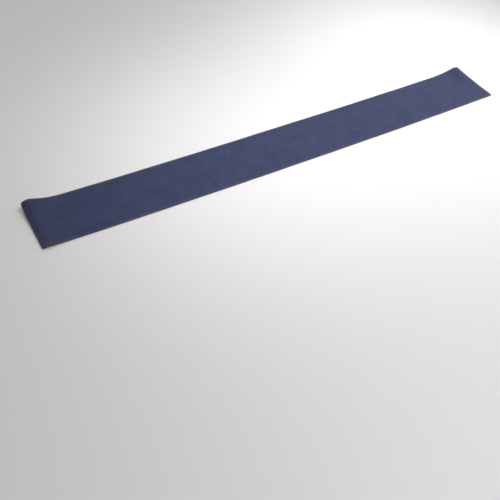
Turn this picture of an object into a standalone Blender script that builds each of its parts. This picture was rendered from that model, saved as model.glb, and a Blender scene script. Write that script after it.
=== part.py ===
"""Felt cover for the keys of a piano: one cut strip of felt, laid out on its underside.

The strip's length runs along X, its front edge faces -Y and +Z is up. Its middle lies flat. Towards both ends the
felt keeps the shape of the key blocks it is used on: the back corners stand up and the cut ends roll over a little.
The origin is under the middle of the bounding box. All sizes are in metres.
"""

from collections import namedtuple
from math import sqrt

import bmesh
import bpy
from mathutils import Matrix, Vector

# The strip as it is cut
CUT_LENGTH = 1.262
CUT_WIDTH = 0.136
WIDTH_GAIN = 0.002  # the right end is cut this much wider than the middle, the left end this much narrower
FELT_THICKNESS = 0.0022
CORNER_RADIUS = 0.004
CORNER_STEPS = 3

# The way it lies
BOW = 0.0065  # how far both ends lie behind the middle, in the plane of the surface
BOW_POWER = 2.5

# The mesh: steps along the flat middle, steps along each of the two raised ends, and rows across
MIDDLE_STEPS = 8
END_STEPS = 24
ROWS = 14
WALK_STEP = 0.001

NAVY_FELT = (0.060, 0.067, 0.140, 1.0)
FELT_ROUGHNESS = 0.95

# How high the felt's underside stands along its front and its back edge, at a distance from the cut end. gather is
# the power with which the height grows from the front edge to the back one
Lift = namedtuple("Lift", "from_end front back gather")

LEFT_END = (
    Lift(from_end=0.000, front=0.0000, back=0.0058, gather=3.0),
    Lift(from_end=0.004, front=0.0024, back=0.0091, gather=2.6),
    Lift(from_end=0.010, front=0.0041, back=0.0118, gather=2.2),
    Lift(from_end=0.018, front=0.0048, back=0.0130, gather=2.0),
    Lift(from_end=0.030, front=0.0037, back=0.0097, gather=2.0),
    Lift(from_end=0.045, front=0.0020, back=0.0054, gather=2.0),
    Lift(from_end=0.060, front=0.0009, back=0.0023, gather=2.0),
    Lift(from_end=0.078, front=0.0002, back=0.0005, gather=2.0),
    Lift(from_end=0.098, front=0.0000, back=0.0000, gather=2.0),
)

RIGHT_END = (
    Lift(from_end=0.000, front=0.0001, back=0.0064, gather=2.4),
    Lift(from_end=0.005, front=0.0008, back=0.0082, gather=2.2),
    Lift(from_end=0.012, front=0.0012, back=0.0093, gather=2.0),
    Lift(from_end=0.020, front=0.0012, back=0.0094, gather=2.0),
    Lift(from_end=0.036, front=0.0008, back=0.0064, gather=2.0),
    Lift(from_end=0.052, front=0.0004, back=0.0035, gather=2.0),
    Lift(from_end=0.072, front=0.0001, back=0.0014, gather=2.0),
    Lift(from_end=0.100, front=0.0000, back=0.0000, gather=2.0),
)


def clear_scene():
    for old in list(bpy.data.objects):
        bpy.data.objects.remove(old, do_unlink=True)


def slope_at(stations, row, column):
    """The slope of a column of the table at one of its rows, taken from the rows on both sides."""
    if row == len(stations) - 1:
        return 0.0
    before = stations[max(row - 1, 0)]
    after = stations[row + 1]
    return (getattr(after, column) - getattr(before, column)) / (after.from_end - before.from_end)


def read_station(stations, column, distance):
    """A column of the table at any distance from the end, on a smooth curve through its rows."""
    if distance >= stations[-1].from_end:
        return 0.0
    row = 0
    while stations[row + 1].from_end < distance:
        row += 1
    near, far = stations[row], stations[row + 1]
    span = far.from_end - near.from_end
    share = (distance - near.from_end) / span
    to_far = share * share * (3 - 2 * share)
    near_pull = share * (1 - share) ** 2 * span * slope_at(stations, row, column)
    far_pull = share * share * (share - 1) * span * slope_at(stations, row + 1, column)
    value = getattr(near, column) * (1 - to_far) + getattr(far, column) * to_far + near_pull + far_pull
    return max(value, 0.0)


def lift(along, across):
    """Height of the underside. along runs from -1 at the left end to 1, across from 0 at the front edge to 1."""
    stations = LEFT_END if along < 0 else RIGHT_END
    distance = (1 - abs(along)) * CUT_LENGTH / 2
    front = read_station(stations, "front", distance)
    back = read_station(stations, "back", distance)
    gather = read_station(stations, "gather", distance)
    return front + (back - front) * across**gather


def ground_distance(along, across):
    """How far from the middle a point lies in plan: the cloth is no longer than it was cut, so a rise draws it in."""
    side = -1 if along < 0 else 1
    stations = LEFT_END if along < 0 else RIGHT_END
    reach = abs(along) * CUT_LENGTH / 2
    flat_reach = CUT_LENGTH / 2 - stations[-1].from_end
    if reach <= flat_reach:
        return side * reach
    steps = max(1, round((reach - flat_reach) / WALK_STEP))
    step = (reach - flat_reach) / steps
    walked = flat_reach
    height = 0.0
    for index in range(1, steps + 1):
        next_height = lift(side * (flat_reach + index * step) * 2 / CUT_LENGTH, across)
        walked += sqrt(step * step - (next_height - height) ** 2)
        height = next_height
    return side * walked


def lay_out(along, across):
    """Where a point of the cut strip comes to lie."""
    set_back = BOW * abs(along) ** BOW_POWER
    width = CUT_WIDTH + WIDTH_GAIN * along
    return Vector((ground_distance(along, across), set_back + width * across, lift(along, across)))


def step_place(step):
    """Where a step of the mesh lies, from -1 at the left end to 1. The raised ends have short, even steps."""
    left = LEFT_END[-1].from_end * 2 / CUT_LENGTH
    right = RIGHT_END[-1].from_end * 2 / CUT_LENGTH
    if step < END_STEPS:
        return -1 + left * step / END_STEPS
    past_middle = step - END_STEPS - MIDDLE_STEPS
    if past_middle > 0:
        return 1 - right * (1 - past_middle / END_STEPS)
    share = (step - END_STEPS) / MIDDLE_STEPS
    return (left - 1) * (1 - share) + (1 - right) * share


def flat_strip():
    """The cut strip as a flat grid from -1 to 1 along and 0 to 1 across, with its corners rounded."""
    strip = bmesh.new()
    steps = MIDDLE_STEPS + 2 * END_STEPS
    bmesh.ops.create_grid(strip, x_segments=steps, y_segments=ROWS, size=1.0)
    for vertex in strip.verts:
        vertex.co.x = step_place(round((vertex.co.x + 1) / 2 * steps))
        vertex.co.y = (vertex.co.y + 1) / 2
    to_size = Vector((CUT_LENGTH / 2, CUT_WIDTH, 1.0))
    bmesh.ops.scale(strip, vec=to_size, verts=strip.verts)
    corners = [vertex for vertex in strip.verts if len(vertex.link_edges) == 2]
    bmesh.ops.bevel(
        strip,
        geom=corners,
        offset=CORNER_RADIUS,
        segments=CORNER_STEPS,
        profile=0.5,
        affect="VERTICES",
        material=-1,
    )
    back_to_shares = Vector((2 / CUT_LENGTH, 1 / CUT_WIDTH, 1.0))
    bmesh.ops.scale(strip, vec=back_to_shares, verts=strip.verts)
    return strip


def centre_on_origin(cover):
    """Puts the middle of the finished cover's bounding box on the Z axis."""
    finished = cover.evaluated_get(bpy.context.evaluated_depsgraph_get())
    corners = [Vector(corner) for corner in finished.bound_box]
    middle = sum(corners, Vector()) / len(corners)
    middle.z = 0.0
    cover.data.transform(Matrix.Translation(-middle))


def felt_material():
    material = bpy.data.materials.new("navy_felt")
    material.use_nodes = True
    shader = material.node_tree.nodes["Principled BSDF"]
    shader.inputs["Base Color"].default_value = NAVY_FELT
    shader.inputs["Roughness"].default_value = FELT_ROUGHNESS
    shader.inputs["Metallic"].default_value = 0.0
    material.diffuse_color = NAVY_FELT
    return material


def felt_strip():
    """The cover itself: the laid sheet is its underside, and Solidify gives it its thickness upwards."""
    strip = flat_strip()
    for vertex in strip.verts:
        vertex.co = lay_out(vertex.co.x, vertex.co.y)
    mesh = bpy.data.meshes.new("felt_strip")
    strip.to_mesh(mesh)
    strip.free()
    mesh.materials.append(felt_material())
    mesh.shade_smooth()
    cover = bpy.data.objects.new("felt_strip", mesh)
    bpy.context.scene.collection.objects.link(cover)
    thickness = cover.modifiers.new("felt_thickness", "SOLIDIFY")
    thickness.thickness = FELT_THICKNESS
    thickness.offset = 1.0
    thickness.use_even_offset = True
    centre_on_origin(cover)
    return cover


clear_scene()
felt_strip()
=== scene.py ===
"""Looks for a felt cover that lies over the keys of a piano: the cut strip of needled felt, the fibres that
its cutting left loose, and a plain studio stage.

The file is laid out as a Blender add-on and is run as a script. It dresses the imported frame, so all lengths
are in metres and in the frame's axes: the strip runs along X, its front edge faces -Y, and +Z is up.
"""

from collections import namedtuple
from math import cos, hypot, radians, sin, sqrt
from random import Random

import bmesh
import bpy
from bpy.props import FloatProperty, FloatVectorProperty, PointerProperty
from mathutils import Matrix, Quaternion, Vector, noise


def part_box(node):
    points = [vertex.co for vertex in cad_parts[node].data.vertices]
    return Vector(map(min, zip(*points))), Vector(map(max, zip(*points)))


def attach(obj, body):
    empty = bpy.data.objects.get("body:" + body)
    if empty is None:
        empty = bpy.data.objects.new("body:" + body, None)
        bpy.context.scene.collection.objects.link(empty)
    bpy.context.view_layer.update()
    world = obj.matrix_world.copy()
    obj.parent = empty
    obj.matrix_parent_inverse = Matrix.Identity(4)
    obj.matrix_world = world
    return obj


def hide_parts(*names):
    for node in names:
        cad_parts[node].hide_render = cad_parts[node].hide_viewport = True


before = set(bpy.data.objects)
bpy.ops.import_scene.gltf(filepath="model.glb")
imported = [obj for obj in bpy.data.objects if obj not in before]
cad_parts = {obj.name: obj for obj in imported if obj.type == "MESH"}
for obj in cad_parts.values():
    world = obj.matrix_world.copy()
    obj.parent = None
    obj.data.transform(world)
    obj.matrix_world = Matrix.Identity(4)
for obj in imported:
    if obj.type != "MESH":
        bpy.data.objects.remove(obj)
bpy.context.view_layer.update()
CAD_STRIP = "felt_strip"
STRIP_LOW, STRIP_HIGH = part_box(CAD_STRIP)
CLOTH = "felt_strip_cloth"
LOOSE_FIBRES = "felt_strip_fibres"
FLOOR_HEIGHT = STRIP_LOW.z

bl_info = {
    "name": "Felt Key Cover",
    "version": (1, 0, 0),
    "blender": (4, 5, 0),
    "location": "3D View > Sidebar > Felt Cover",
    "description": "Makes a felt cover for the keys of a piano, its loose fibres and a plain studio stage",
    "category": "Add Mesh",
}

MM = 0.001

# How high the felt's underside stands along its front and its back edge, at a distance from the cut end.
# gather is the power with which the height grows from the front edge to the back one
Lift = namedtuple("Lift", "from_end front back gather")

LEFT_END = (
    Lift(from_end=0.000, front=0.0000, back=0.0058, gather=3.0),
    Lift(from_end=0.004, front=0.0024, back=0.0091, gather=2.6),
    Lift(from_end=0.010, front=0.0041, back=0.0118, gather=2.2),
    Lift(from_end=0.018, front=0.0048, back=0.0130, gather=2.0),
    Lift(from_end=0.030, front=0.0037, back=0.0097, gather=2.0),
    Lift(from_end=0.045, front=0.0020, back=0.0054, gather=2.0),
    Lift(from_end=0.060, front=0.0009, back=0.0023, gather=2.0),
    Lift(from_end=0.078, front=0.0002, back=0.0005, gather=2.0),
    Lift(from_end=0.098, front=0.0000, back=0.0000, gather=2.0),
)

RIGHT_END = (
    Lift(from_end=0.000, front=0.0001, back=0.0064, gather=2.4),
    Lift(from_end=0.005, front=0.0008, back=0.0082, gather=2.2),
    Lift(from_end=0.012, front=0.0012, back=0.0093, gather=2.0),
    Lift(from_end=0.020, front=0.0012, back=0.0094, gather=2.0),
    Lift(from_end=0.036, front=0.0008, back=0.0064, gather=2.0),
    Lift(from_end=0.052, front=0.0004, back=0.0035, gather=2.0),
    Lift(from_end=0.072, front=0.0001, back=0.0014, gather=2.0),
    Lift(from_end=0.100, front=0.0000, back=0.0000, gather=2.0),
)

BOW_POWER = 2.5  # the power with which the strip's bow grows from its middle to its ends
WALK_STEP = 1 * MM  # the steps in which the length of the raised cloth is measured

# The mesh: its cells get smaller towards the cut edges
LENGTH_CROWDING = 1.2
WIDTH_CROWDING = 1.3
RIM_SEGMENTS = 3
RIM_ANGLE = radians(50)  # an edge that is sharper than this is the strip's rim

# How uneven the felt is: the height, the distance from one rise to the next, and the part of the noise
# that it is read from
Unevenness = namedtuple("Unevenness", "height spacing noise_level")
CUT_WANDER = Unevenness(height=0.25 * MM, spacing=60 * MM, noise_level=10.0)
WAVES = Unevenness(height=0.30 * MM, spacing=110 * MM, noise_level=20.0)
LUMPS = Unevenness(height=0.05 * MM, spacing=7 * MM, noise_level=30.0)
WANDER_FADE = 8  # the power with which the cut's wander grows towards the long edges

# The felt's clouds and its tufts: how far apart they are in millimetres, and how fine the detail in them is
CLOUDS_APART = 45
CLOUD_DETAIL = 2.0
TUFTS_APART = 6.5
TUFT_DETAIL = 3.0

# The streaks of fibre, which lie every way and wander from side to side
STREAK_LENGTH = 9 * MM
STREAK_WIDTH = 0.6 * MM
STREAK_DETAIL = 1.0
STREAK_TURNS = [radians(turn) for turn in (12, 49, 84, 121, 157)]
STREAK_WANDER = 5 * MM
WANDERS_APART = 4  # millimetres
WANDER_DETAIL = 1.0

# What each pattern adds to the felt's tone: its weight, and the mean that is taken off it first. The fibres'
# mean is higher, because the palest streak is the one on top
CLOUDS_MEAN = 0.5
CLOUDS_WEIGHT = 0.8
TUFTS_MEAN = 0.5
TUFTS_WEIGHT = 0.7
FIBRES_MEAN = 0.62
FIBRES_WEIGHT = 1.6
MIDDLE_TONE = 0.5  # the tone where every pattern is at its mean
# The tones at which the felt is deepest and palest
DEEP_TONE = 0.2
PALE_TONE = 0.8

# Painted highlight: a paler, greyer band along the cut edges stands in for the light that the rounded rims
# catch. Its strength is multiplied by the tone, so it shows most on the palest fibres
FROM_CUT = "from_cut"  # the strip's attribute for the distance to its nearest cut edge
CUT_HIGHLIGHT_BAND = 7 * MM
CUT_HIGHLIGHT_STRENGTH = 1.7

# The felt's finish
LEAST_ROUGH = 0.84
MOST_ROUGH = 1.0
Relief = namedtuple("Relief", "strength height")
TUFT_RELIEF = Relief(strength=0.7, height=0.6 * MM)
FIBRE_RELIEF = Relief(strength=0.8, height=0.3 * MM)
FELT_FINISH = {
    "Diffuse Roughness": 0.6,
    "Specular IOR Level": 0.1,
    "Sheen Weight": 0.1,
    "Sheen Roughness": 0.5,
}

# The fibres that stand out of the cut edges. They are drawn thicker than the real 0.02 mm, too fine to show
FIBRE_COUNT = 2400
SHORTEST_FIBRE = 0.6 * MM
LONGEST_FIBRE = 1.9 * MM
FIBRE_RADIUS = 0.035 * MM
FIBRE_SIDES = 3
FIBRE_STEPS = 3
FIBRE_TAPER = 0.75  # how thick the end of each step is, next to its beginning
FIBRE_CURL = 0.6
FIBRE_STAND = 0.9  # how much more they point away from the edge than any other way
EDGE_REACH = 0.035 * MM  # a face whose corners are all nearer to the cut than this is part of the edge
FRAY_SEED = 7


def linear(hex_colour):
    """A linear colour for Blender from an sRGB hex value such as #FFFFFF."""
    shares = [int(hex_colour[place : place + 2], 16) / 255 for place in (1, 3, 5)]
    return tuple(s / 12.92 if s <= 0.04045 else ((s + 0.055) / 1.055) ** 2.4 for s in shares)


def opaque(colour):
    return (*colour, 1.0)


def per_metre(millimetres):
    """The scale of a pattern whose parts are this many millimetres apart."""
    return 1000 / millimetres


class FeltCoverSizes(bpy.types.PropertyGroup):
    cut_length: FloatProperty(
        name="Cut length", description="Length of the strip as it is cut", default=1.262, unit="LENGTH"
    )
    cut_width: FloatProperty(
        name="Cut width", description="Width of the strip in its middle", default=0.136, unit="LENGTH"
    )
    width_gain: FloatProperty(
        name="Width gain",
        description="How much wider than the middle the right end is cut, and how much narrower the left",
        default=0.002,
        unit="LENGTH",
    )
    thickness: FloatProperty(
        name="Thickness", description="Thickness of the felt", default=2.2 * MM, unit="LENGTH"
    )
    corner_radius: FloatProperty(
        name="Corner radius",
        description="Radius of the strip's four corners",
        default=4 * MM,
        unit="LENGTH",
    )
    edge_rounding: FloatProperty(
        name="Edge rounding",
        description="Radius along the cut edges, where the felt's fibres give way",
        default=0.65 * MM,
        unit="LENGTH",
    )
    bow: FloatProperty(
        name="Bow", description="How far both ends lie behind the middle", default=6.5 * MM, unit="LENGTH"
    )
    cell: FloatProperty(
        name="Cell", description="Mean size of the strip's mesh cells", default=2.5 * MM, unit="LENGTH"
    )


class FeltCoverColours(bpy.types.PropertyGroup):
    deep: FloatVectorProperty(
        name="Deep felt",
        description="The darkest fibres of the felt",
        default=linear("#343A58"),
        subtype="COLOR",
        size=3,
    )
    body: FloatVectorProperty(
        name="Body of the felt",
        description="The felt's own navy blue",
        default=linear("#3A4060"),
        subtype="COLOR",
        size=3,
    )
    pale: FloatVectorProperty(
        name="Pale felt",
        description="The lightest fibres of the felt",
        default=linear("#414768"),
        subtype="COLOR",
        size=3,
    )
    # The colour of the painted highlight along the cut edges, where the rounded rims catch the light
    cut: FloatVectorProperty(
        name="Cut edge highlight",
        description="The painted highlight along the cut edges",
        default=linear("#57536A"),
        subtype="COLOR",
        size=3,
    )
    floor: FloatVectorProperty(
        name="Floor",
        description="The plain floor under the cover",
        default=linear("#D5D5D5"),
        subtype="COLOR",
        size=3,
    )


def slope_at(stations, row, column):
    """The slope of a column of the table at one of its rows, taken from the rows on both sides."""
    if row == len(stations) - 1:
        return 0.0
    before = stations[max(row - 1, 0)]
    after = stations[row + 1]
    return (getattr(after, column) - getattr(before, column)) / (after.from_end - before.from_end)


def read_station(stations, column, distance):
    """A column of the table at any distance from the end, on a smooth curve through its rows."""
    if distance >= stations[-1].from_end:
        return 0.0
    row = 0
    while stations[row + 1].from_end < distance:
        row += 1
    near, far = stations[row], stations[row + 1]
    span = far.from_end - near.from_end
    share = (distance - near.from_end) / span
    to_far = share * share * (3 - 2 * share)
    near_pull = share * (1 - share) ** 2 * span * slope_at(stations, row, column)
    far_pull = share * share * (share - 1) * span * slope_at(stations, row + 1, column)
    value = getattr(near, column) * (1 - to_far) + getattr(far, column) * to_far + near_pull + far_pull
    return max(value, 0.0)


def lift(sizes, along, across):
    """Height of the underside. along is in metres from the middle, across from 0 at the front edge to 1."""
    stations = LEFT_END if along < 0 else RIGHT_END
    distance = sizes.cut_length / 2 - abs(along)
    front = read_station(stations, "front", distance)
    back = read_station(stations, "back", distance)
    gather = read_station(stations, "gather", distance)
    return front + (back - front) * max(across, 0.0) ** gather


def ground_distance(sizes, along, across):
    """How far from the middle a point lies in plan. The cloth doesn't stretch, so a rise draws it in."""
    side = -1 if along < 0 else 1
    stations = LEFT_END if along < 0 else RIGHT_END
    flat_reach = sizes.cut_length / 2 - stations[-1].from_end
    if abs(along) <= flat_reach:
        return along
    steps = max(1, round((abs(along) - flat_reach) / WALK_STEP))
    step = (abs(along) - flat_reach) / steps
    walked = flat_reach
    height = 0.0
    for index in range(1, steps + 1):
        next_height = lift(sizes, side * (flat_reach + index * step), across)
        walked += sqrt(step * step - (next_height - height) ** 2)
        height = next_height
    return side * walked


def lay_out(sizes, along, across):
    """Where a point of the cut strip comes to lie, before the strip is centred on the frame's box."""
    share = 2 * along / sizes.cut_length
    set_back = sizes.bow * abs(share) ** BOW_POWER
    width = sizes.cut_width + sizes.width_gain * share
    return Vector(
        (
            ground_distance(sizes, along, across),
            set_back + width * across,
            lift(sizes, along, across),
        )
    )


def crowd(share, power):
    """Moves a share from -1 to 1 outwards, so that equal steps get smaller towards both ends."""
    crowded = 1 - (1 - abs(share)) ** power
    return crowded if share > 0 else -crowded


def round_corner(sizes, x, y):
    """Draws a point of the rectangle that is within a corner's square in under the corner's arc."""
    past_x = abs(x) - (sizes.cut_length / 2 - sizes.corner_radius)
    past_y = abs(y) - (sizes.cut_width / 2 - sizes.corner_radius)
    if past_x <= 0 or past_y <= 0:
        return x, y
    draw_in = 1 - max(past_x, past_y) / hypot(past_x, past_y)
    return (
        x - past_x * draw_in * (1 if x > 0 else -1),
        y - past_y * draw_in * (1 if y > 0 else -1),
    )


def uneven(place, unevenness):
    """A smooth random height at a place, between plus and minus the unevenness's height."""
    level = Vector((0.0, 0.0, unevenness.noise_level))
    return unevenness.height * noise.noise(place / unevenness.spacing + level)


def flat_cut(sizes):
    """The strip as it is cut: a flat grid in its own plane, with round corners and edges cut by hand."""
    cut = bmesh.new()
    bmesh.ops.create_grid(
        cut,
        x_segments=round(sizes.cut_length / sizes.cell),
        y_segments=round(sizes.cut_width / sizes.cell),
        size=1.0,
    )
    from_cut = cut.verts.layers.float.new(FROM_CUT)
    for vertex in cut.verts:
        x = crowd(vertex.co.x, LENGTH_CROWDING) * sizes.cut_length / 2
        y = crowd(vertex.co.y, WIDTH_CROWDING) * sizes.cut_width / 2
        vertex[from_cut] = min(sizes.cut_length / 2 - abs(x), sizes.cut_width / 2 - abs(y))
        x, y = round_corner(sizes, x, y)
        wander = uneven(Vector((x, y, 0.0)), CUT_WANDER)
        edge_share = (2 * y / sizes.cut_width) ** WANDER_FADE
        vertex.co = Vector((x, y + wander * edge_share, 0.0))
    return cut


def centre_on_frame(strip):
    """Puts the laid strip where the frame's own strip is. Its lowest point is at a height of 0 until then."""
    low = Vector([min(vertex.co[axis] for vertex in strip.verts) for axis in range(3)])
    high = Vector([max(vertex.co[axis] for vertex in strip.verts) for axis in range(3)])
    move = (STRIP_LOW + STRIP_HIGH - low - high) / 2
    move.z = FLOOR_HEIGHT
    bmesh.ops.translate(strip, vec=move, verts=strip.verts)


def thicken(strip, thickness):
    """Turns the laid sheet into a closed piece, with the sheet as its underside."""
    strip.normal_update()
    upwards = [vertex.normal.copy() for vertex in strip.verts]
    grown = bmesh.ops.extrude_face_region(strip, geom=strip.faces[:], use_keep_orig=True)
    upper = [part for part in grown["geom"] if isinstance(part, bmesh.types.BMVert)]
    for vertex, direction in zip(upper, upwards):
        vertex.co += direction * thickness
    bmesh.ops.recalc_face_normals(strip, faces=strip.faces)


def soften_rim(strip, radius):
    """Rounds the cut edges, above and below."""
    strip.normal_update()
    rim = [edge for edge in strip.edges if edge.calc_face_angle(0.0) > RIM_ANGLE]
    bmesh.ops.bevel(
        strip, geom=rim, offset=radius, segments=RIM_SEGMENTS, profile=0.5, affect="EDGES", material=-1
    )


def roughen(strip):
    """Gives the felt its slow waves and the lumps of its fibres. The underside is only pushed up."""
    strip.normal_update()
    for vertex in strip.verts:
        waves = uneven(vertex.co, WAVES)
        lumps = uneven(vertex.co, LUMPS)
        if vertex.normal.z < 0:
            vertex.co.z += max(waves, 0.0) + max(lumps, 0.0)
        else:
            vertex.co += vertex.normal * (waves + lumps)


def finished_piece(form, name, material):
    """Makes a smooth object of a bmesh and frees the bmesh. The object stays at the origin."""
    mesh = bpy.data.meshes.new(name)
    form.to_mesh(mesh)
    form.free()
    mesh.materials.append(material)
    mesh.shade_smooth()
    piece = bpy.data.objects.new(name, mesh)
    bpy.context.scene.collection.objects.link(piece)
    return piece


def random_direction(chance):
    return Vector([chance.gauss(0.0, 1.0) for axis in range(3)]).normalized()


def place_on(face, chance):
    shares = [chance.random() for corner in face.verts]
    return sum((corner.co * share for corner, share in zip(face.verts, shares)), Vector()) / sum(shares)


def loose_fibres(faces, chance):
    """Grows fibres out of the faces. A fibre is given as its points, from root to tip."""
    fibres = []
    for _ in range(FIBRE_COUNT):
        face = chance.choice(faces)
        root = place_on(face, chance)
        start = (face.normal * FIBRE_STAND + random_direction(chance)).normalized()
        curl = random_direction(chance) * FIBRE_CURL
        length = chance.uniform(SHORTEST_FIBRE, LONGEST_FIBRE)
        shares = [step / FIBRE_STEPS for step in range(FIBRE_STEPS + 1)]
        points = [root + (start * share + curl * share * share) * length for share in shares]
        for point in points:
            point.z = max(point.z, FLOOR_HEIGHT + FIBRE_RADIUS)
        fibres.append(points)
    return fibres


def spin_fibres(fibres):
    """Gives the fibres their thickness and closes them. All of them grow by one step at a time."""
    spun = bmesh.new()
    number = spun.faces.layers.int.new("number")
    for index, points in enumerate(fibres):
        turn = (points[1] - points[0]).to_track_quat("Z", "X").to_matrix().to_4x4()
        place = Matrix.Translation(points[0]) @ turn
        root = bmesh.ops.create_circle(
            spun, cap_ends=True, segments=FIBRE_SIDES, radius=FIBRE_RADIUS, matrix=place
        )
        root["verts"][0].link_faces[0][number] = index
    tips = spun.faces[:]
    for step in range(1, FIBRE_STEPS + 1):
        tips = bmesh.ops.extrude_discrete_faces(spun, faces=tips)["faces"]
        for tip in tips:
            points = fibres[tip[number]]
            for corner in tip.verts:
                corner.co = points[step] + (corner.co - points[step - 1]) * FIBRE_TAPER
    spun.faces.layers.int.remove(number)
    open_edges = [edge for edge in spun.edges if edge.is_boundary]
    bmesh.ops.holes_fill(spun, edges=open_edges, sides=FIBRE_SIDES)
    bmesh.ops.recalc_face_normals(spun, faces=spun.faces)
    return spun


def add_node(tree, kind, sockets=(), links=(), **settings):
    """Adds a node with its own settings, the values of its sockets and the outputs that feed them."""
    node = tree.nodes.new(kind)
    for name, value in settings.items():
        setattr(node, name, value)
    for socket, value in dict(sockets).items():
        node.inputs[socket].default_value = value
    for socket, source in dict(links).items():
        tree.links.new(source, node.inputs[socket])
    return node


def new_material(name, finish):
    """A material whose shader has the given finish. Its tree and shader are returned with it."""
    material = bpy.data.materials.new(name)
    material.use_nodes = True
    tree = material.node_tree
    shader = tree.nodes["Principled BSDF"]
    for socket, value in finish.items():
        shader.inputs[socket].default_value = value
    return material, tree, shader


def noise_pattern(tree, place, scale, detail):
    """A node of soft random patches."""
    return add_node(
        tree,
        "ShaderNodeTexNoise",
        sockets={"Scale": scale, "Detail": detail},
        links={"Vector": place},
    )


def weighted_sum(tree, patterns):
    """Adds patterns up around the middle tone, each less its mean and times its weight."""
    total = None
    for pattern, mean, weight in patterns:
        centred = add_node(
            tree,
            "ShaderNodeMath",
            operation="SUBTRACT",
            sockets={1: mean},
            links={0: pattern},
        ).outputs["Value"]
        term = add_node(
            tree,
            "ShaderNodeMath",
            operation="MULTIPLY_ADD",
            sockets={1: weight, 2: MIDDLE_TONE},
            links={0: centred},
        )
        if total is not None:
            tree.links.new(total, term.inputs[2])
        total = term.outputs["Value"]
    return total


def crossing_fibres(tree, place):
    """Thin wavy streaks of fibre that lie every way, with the palest one on top."""
    wander = noise_pattern(tree, place, per_metre(WANDERS_APART), WANDER_DETAIL).outputs["Color"]
    wavy = add_node(
        tree,
        "ShaderNodeVectorMath",
        operation="MULTIPLY_ADD",
        sockets={1: (STREAK_WANDER, STREAK_WANDER, STREAK_WANDER)},
        links={0: wander, 2: place},
    ).outputs["Vector"]
    top = None
    for turn in STREAK_TURNS:
        along = add_node(
            tree,
            "ShaderNodeMapping",
            vector_type="TEXTURE",
            sockets={
                "Rotation": (0.0, 0.0, turn),
                "Scale": (STREAK_LENGTH, STREAK_WIDTH, STREAK_WIDTH),
            },
            links={"Vector": wavy},
        ).outputs["Vector"]
        streaks = noise_pattern(tree, along, 1.0, STREAK_DETAIL).outputs["Fac"]
        if top is None:
            top = streaks
        else:
            top = add_node(
                tree, "ShaderNodeMath", operation="MAXIMUM", links={0: top, 1: streaks}
            ).outputs["Value"]
    return top


def relief_normal(tree, height, relief, links=()):
    """The normal that a pattern's relief gives the surface."""
    return add_node(
        tree,
        "ShaderNodeBump",
        sockets={"Strength": relief.strength, "Distance": relief.height},
        links={"Height": height, **dict(links)},
    ).outputs["Normal"]


def needled_felt(colours):
    """Needle-punched felt of dyed polyester staple. Its fibres lie every way and stand up a little, so it is
    matt, slightly cloudy, without a grain and paler at a low angle. A paler, greyer band is painted along its
    cut edges as a highlight on the rounded rims."""
    material, tree, shader = new_material("navy_needled_felt", FELT_FINISH)
    place = add_node(tree, "ShaderNodeTexCoord").outputs["Object"]

    # The web of fibres is thicker in some places than in others
    clouds = noise_pattern(tree, place, per_metre(CLOUDS_APART), CLOUD_DETAIL).outputs["Fac"]
    # Tufts that the needles pushed together
    tufts = noise_pattern(tree, place, per_metre(TUFTS_APART), TUFT_DETAIL).outputs["Fac"]
    # Single fibres are 0.02 mm thick, too fine to show, so bundles of them are drawn
    fibres = crossing_fibres(tree, place)

    tone = weighted_sum(
        tree,
        (
            (clouds, CLOUDS_MEAN, CLOUDS_WEIGHT),
            (tufts, TUFTS_MEAN, TUFTS_WEIGHT),
            (fibres, FIBRES_MEAN, FIBRES_WEIGHT),
        ),
    )
    dyed = add_node(tree, "ShaderNodeValToRGB", links={"Fac": tone})
    deep, pale = dyed.color_ramp.elements
    deep.position = DEEP_TONE
    deep.color = opaque(colours.deep)
    pale.position = PALE_TONE
    pale.color = opaque(colours.pale)

    # Painted highlight: the cut edges are painted paler and greyer where the rounded rims catch the light
    from_cut = add_node(tree, "ShaderNodeAttribute", attribute_name=FROM_CUT).outputs["Fac"]
    band = add_node(
        tree,
        "ShaderNodeMapRange",
        interpolation_type="SMOOTHSTEP",
        sockets={"From Max": CUT_HIGHLIGHT_BAND, "To Min": CUT_HIGHLIGHT_STRENGTH, "To Max": 0.0},
        links={"Value": from_cut},
    ).outputs["Result"]
    rim_highlight_share = add_node(
        tree, "ShaderNodeMath", operation="MULTIPLY", use_clamp=True, links={0: band, 1: tone}
    ).outputs["Value"]
    surface = add_node(
        tree,
        "ShaderNodeMix",
        data_type="RGBA",
        sockets={"B": opaque(colours.cut)},
        links={"Factor": rim_highlight_share, "A": dyed.outputs["Color"]},
    ).outputs["Result"]
    tree.links.new(surface, shader.inputs["Base Color"])

    roughness = add_node(
        tree,
        "ShaderNodeMapRange",
        sockets={"To Min": LEAST_ROUGH, "To Max": MOST_ROUGH},
        links={"Value": fibres},
    ).outputs["Result"]
    tree.links.new(roughness, shader.inputs["Roughness"])

    tufted = relief_normal(tree, tufts, TUFT_RELIEF)
    fibrous = relief_normal(tree, fibres, FIBRE_RELIEF, links={"Normal": tufted})
    tree.links.new(fibrous, shader.inputs["Normal"])

    material.diffuse_color = opaque(colours.body)
    return material


def backdrop_paper(colours):
    """Seamless backdrop paper: matt and plain."""
    material, _, shader = new_material("backdrop_paper", PAPER_FINISH)
    shader.inputs["Base Color"].default_value = opaque(colours.floor)
    return material


class FELTCOVER_OT_lay_strip(bpy.types.Operator):
    """Lays the felt strip over the frame's own strip"""

    bl_idname = "felt_cover.lay_strip"
    bl_label = "Lay the Felt Strip"

    def execute(self, context):
        sizes = context.scene.felt_cover_sizes
        strip = flat_cut(sizes)
        for vertex in strip.verts:
            across = vertex.co.y / sizes.cut_width + 0.5
            vertex.co = lay_out(sizes, vertex.co.x, across)
        thicken(strip, sizes.thickness)
        centre_on_frame(strip)
        soften_rim(strip, sizes.edge_rounding)
        roughen(strip)
        piece = finished_piece(strip, CLOTH, needled_felt(context.scene.felt_cover_colours))
        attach(piece, "root")
        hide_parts(CAD_STRIP)
        return {"FINISHED"}


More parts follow.
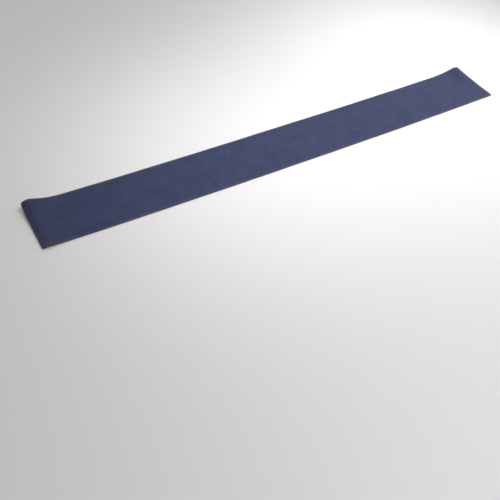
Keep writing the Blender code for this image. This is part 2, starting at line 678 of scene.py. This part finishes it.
class FELTCOVER_OT_fray_edges(bpy.types.Operator):
    """Pulls short fibres out of the strip's cut edges"""

    bl_idname = "felt_cover.fray_edges"
    bl_label = "Fray the Cut Edges"

    def execute(self, context):
        cloth = bpy.data.objects[CLOTH]
        strip = bmesh.new()
        strip.from_mesh(cloth.data)
        from_cut = strip.verts.layers.float[FROM_CUT]
        edge = [
            face for face in strip.faces if max(corner[from_cut] for corner in face.verts) < EDGE_REACH
        ]
        fibres = loose_fibres(edge, Random(FRAY_SEED))
        strip.free()
        piece = finished_piece(spin_fibres(fibres), LOOSE_FIBRES, cloth.data.materials[0])
        piece.parent = cloth
        return {"FINISHED"}


# The stage
FLOOR_DROP = 0.1 * MM  # keeps the floor and the felt's underside from lying in one plane
FLOOR_SIZE = 40.0
FLOOR_CELLS = 4
PAPER_FINISH = {"Roughness": 0.9, "Specular IOR Level": 0.2}

LENS = 47.285  # millimetres, as is the sensor's width
SENSOR = 36.0
VIEW_TARGET = Vector((-0.2668, -0.2526, 0.0))
VIEW_DISTANCE = 1.336
VIEW_TURN = radians(37.25)  # from +Y towards +X
VIEW_DROP = radians(47.35)  # below the horizon
VIEW_ROLL = radians(7.58)

# A wide soft light far off to the right, which reaches all of the floor evenly
FILL_PLACE = Vector((1.6, 0.5, 1.1))
FILL_ANGLE = radians(57)
FILL_STRENGTH = 2.1

# Soft boxes with a grid in front: where each hangs, what it points at, its size, how wide it throws in
# radians and its watts
SoftBox = namedtuple("SoftBox", "name place aim size throw power")

SOFT_BOXES = (
    SoftBox(
        name="key_light",
        place=Vector((1.0, 0.3, 1.2)),
        aim=Vector((0.45, 0.0, 0.0)),
        size=0.7,
        throw=1.2,
        power=3.6,
    ),
    SoftBox(
        name="floor_light",
        place=Vector((-0.8, -1.4, 1.8)),
        aim=Vector((0.2, -1.2, 0.0)),
        size=1.0,
        throw=1.2,
        power=3.0,
    ),
    SoftBox(
        name="middle_light",
        place=Vector((-0.15, 0.0, 1.5)),
        aim=Vector((-0.15, 0.0, 0.0)),
        size=0.6,
        throw=0.6,
        power=0.5,
    ),
)

WHITE = (1.0, 1.0, 1.0, 1.0)
WORLD_STRENGTH = 0.33


def lay_floor(colours):
    surface = bmesh.new()
    bmesh.ops.create_grid(surface, x_segments=FLOOR_CELLS, y_segments=FLOOR_CELLS, size=FLOOR_SIZE / 2)
    height = Vector((0.0, 0.0, FLOOR_HEIGHT - FLOOR_DROP))
    bmesh.ops.translate(surface, vec=height, verts=surface.verts)
    finished_piece(surface, "floor", backdrop_paper(colours))


def hang(light, place, facing):
    """Puts a light in its place and turns it the way it shines."""
    lamp = bpy.data.objects.new(light.name, light)
    lamp.location = place
    lamp.rotation_mode = "QUATERNION"
    lamp.rotation_quaternion = facing.to_track_quat("-Z", "Y")
    bpy.context.scene.collection.objects.link(lamp)


def hang_fill():
    light = bpy.data.lights.new("fill_light", "SUN")
    light.angle = FILL_ANGLE
    light.energy = FILL_STRENGTH
    hang(light, FILL_PLACE, -FILL_PLACE)


def hang_soft_box(box):
    light = bpy.data.lights.new(box.name, "AREA")
    light.shape = "SQUARE"
    light.size = box.size
    light.spread = box.throw
    light.energy = box.power
    hang(light, box.place, box.aim - box.place)


def set_world(scene):
    """An even pale surround, so that no side of the cover is in the dark."""
    scene.world = bpy.data.worlds.new("pale_surround")
    scene.world.use_nodes = True
    background = scene.world.node_tree.nodes["Background"]
    background.inputs["Color"].default_value = WHITE
    background.inputs["Strength"].default_value = WORLD_STRENGTH


def set_camera(scene):
    lens = bpy.data.cameras.new("camera")
    lens.lens = LENS
    lens.sensor_width = SENSOR
    camera = bpy.data.objects.new("camera", lens)
    forward = Vector(
        (
            sin(VIEW_TURN) * cos(VIEW_DROP),
            cos(VIEW_TURN) * cos(VIEW_DROP),
            -sin(VIEW_DROP),
        )
    )
    camera.location = VIEW_TARGET - forward * VIEW_DISTANCE
    camera.rotation_mode = "QUATERNION"
    level = forward.to_track_quat("-Z", "Y")
    line_of_sight = (0.0, 0.0, 1.0)
    camera.rotation_quaternion = level @ Quaternion(line_of_sight, VIEW_ROLL)
    scene.collection.objects.link(camera)
    scene.camera = camera


class FELTCOVER_OT_set_stage(bpy.types.Operator):
    """Sets up the plain floor, the soft lights and the camera"""

    bl_idname = "felt_cover.set_stage"
    bl_label = "Set the Stage"

    def execute(self, context):
        scene = context.scene
        lay_floor(scene.felt_cover_colours)
        hang_fill()
        for box in SOFT_BOXES:
            hang_soft_box(box)
        set_world(scene)
        set_camera(scene)
        scene.view_settings.view_transform = "Standard"
        return {"FINISHED"}


class FELTCOVER_PT_panel(bpy.types.Panel):
    bl_label = "Felt Cover"
    bl_idname = "FELTCOVER_PT_panel"
    bl_space_type = "VIEW_3D"
    bl_region_type = "UI"
    bl_category = "Felt Cover"

    def draw(self, context):
        for group in (context.scene.felt_cover_sizes, context.scene.felt_cover_colours):
            box = self.layout.box()
            for name in group.__annotations__:
                box.prop(group, name)
        for operator in OPERATORS:
            self.layout.operator(operator.bl_idname)


OPERATORS = (FELTCOVER_OT_lay_strip, FELTCOVER_OT_fray_edges, FELTCOVER_OT_set_stage)
CLASSES = (FeltCoverSizes, FeltCoverColours, *OPERATORS, FELTCOVER_PT_panel)


def register():
    for each in CLASSES:
        bpy.utils.register_class(each)
    bpy.types.Scene.felt_cover_sizes = PointerProperty(type=FeltCoverSizes)
    bpy.types.Scene.felt_cover_colours = PointerProperty(type=FeltCoverColours)


def unregister():
    del bpy.types.Scene.felt_cover_colours
    del bpy.types.Scene.felt_cover_sizes
    for each in reversed(CLASSES):
        bpy.utils.unregister_class(each)


def main():
    register()
    bpy.ops.felt_cover.lay_strip()
    bpy.ops.felt_cover.fray_edges()
    bpy.ops.felt_cover.set_stage()


if __name__ == "__main__":
    main()
